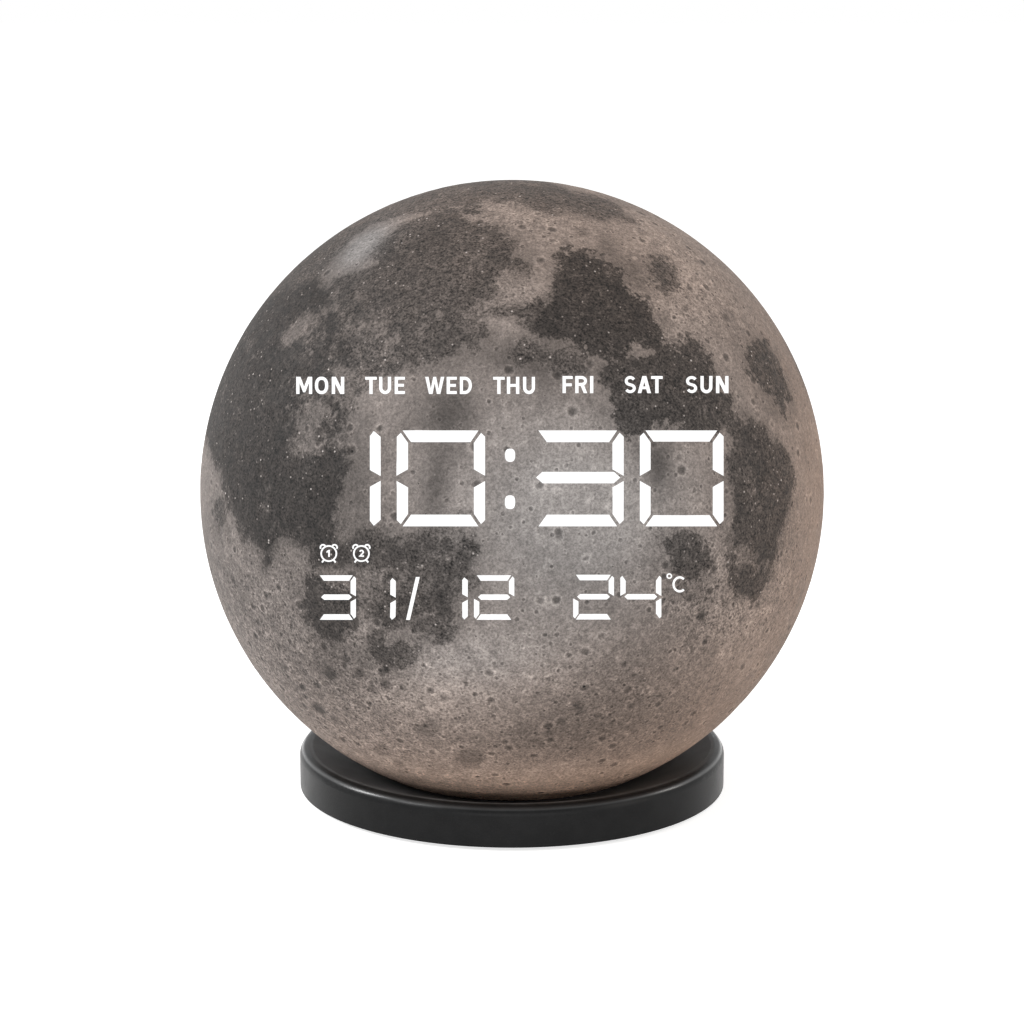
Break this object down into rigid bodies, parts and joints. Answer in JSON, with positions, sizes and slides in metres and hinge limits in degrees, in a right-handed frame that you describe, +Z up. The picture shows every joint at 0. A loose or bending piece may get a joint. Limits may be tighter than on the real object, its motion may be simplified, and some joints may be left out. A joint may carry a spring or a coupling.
{
  "type": "desk clock",
  "caption": "Ball-shaped desk clock with a lunar surface, a lit time, date and temperature display, rear push buttons and battery door, on a round dished base.",
  "frame": {"origin": "centre of the foot pad's underside, on the desk", "axes": "+Z up, -Y towards the reader of the display, +X to the reader's right"},
  "size_m": [0.13, 0.1266, 0.1285],
  "materials": {
    "moon_plastic": "fine grained matt with a printed lunar surface",
    "base_plastic": "satin charcoal",
    "foot_rubber": "matt black",
    "ballast_steel": "turned",
    "screw_steel": "dark plated",
    "inner_plastic": "black moulded",
    "mask_plastic": "light-tight black",
    "lit_white": "lit white",
    "diffuser_plastic": "frosted white",
    "circuit_board": "green lacquer",
    "chip_plastic": "moulded black",
    "connector_plastic": "ivory",
    "ribbon_plastic": "white film",
    "bright_metal": "nickel plated",
    "sensor_resin": "dipped black",
    "panel_plastic": "fine grained charcoal",
    "button_plastic": "satin dark grey"
  },
  "bodies": {
    "clock": {"base_shell": "base_plastic", "base_cover": "base_plastic", "foot_pad": "foot_rubber", "ballast_ring": "ballast_steel", "ball_screws": "screw_steel", "seat_plate": "inner_plastic", "front_shell": "moon_plastic", "rear_shell": "moon_plastic", "light_mask": "mask_plastic", "segment_leds": "lit_white", "diffuser": "diffuser_plastic", "led_board": "circuit_board", "display_screws": "screw_steel", "display_drivers": "chip_plastic", "board_connectors": "connector_plastic", "ribbon_cable": "ribbon_plastic", "main_board": "circuit_board", "board_screws": "screw_steel", "microcontroller": "chip_plastic", "clock_crystal": "bright_metal", "temperature_sensor": "sensor_resin", "buzzer": "chip_plastic", "usb_socket": "bright_metal", "cell_holder": "inner_plastic", "backup_cell": "bright_metal", "switch_bodies": "chip_plastic", "rear_panel": "panel_plastic", "panel_screws": "screw_steel"},
    "set_button": {"button_set": "button_plastic", "plunger_set": "connector_plastic"},
    "down_button": {"button_down": "button_plastic", "plunger_down": "connector_plastic"},
    "up_button": {"button_up": "button_plastic", "plunger_up": "connector_plastic"},
    "alarm_button": {"button_alarm": "button_plastic", "plunger_alarm": "connector_plastic"},
    "light_button": {"button_light": "button_plastic", "plunger_light": "connector_plastic"},
    "door": {"battery_door": "panel_plastic"}
  },
  "joints": [
    {"name": "press_set", "type": "slide", "parent": "clock", "child": "set_button", "axis": [0, -0.9789, 0.2045], "range_m": [0, 0.0004], "stiffness_N_per_m": 400, "springref_m": -0.0005},
    {"name": "press_down", "type": "slide", "parent": "clock", "child": "down_button", "axis": [0, -0.9789, 0.2045], "range_m": [0, 0.0004], "stiffness_N_per_m": 400, "springref_m": -0.0005},
    {"name": "press_up", "type": "slide", "parent": "clock", "child": "up_button", "axis": [0, -0.9789, 0.2045], "range_m": [0, 0.0004], "stiffness_N_per_m": 400, "springref_m": -0.0005},
    {"name": "press_alarm", "type": "slide", "parent": "clock", "child": "alarm_button", "axis": [0, -0.9789, 0.2045], "range_m": [0, 0.0004], "stiffness_N_per_m": 400, "springref_m": -0.0005},
    {"name": "press_light", "type": "slide", "parent": "clock", "child": "light_button", "axis": [0, -0.9789, 0.2045], "range_m": [0, 0.0004], "stiffness_N_per_m": 400, "springref_m": -0.0005},
    {"name": "door_turn", "type": "hinge", "parent": "clock", "child": "door", "pos_m": [0, 0.05255, 0.04998], "axis": [0, 0.9789, -0.2045], "range_deg": [0, 45]}
  ]
}
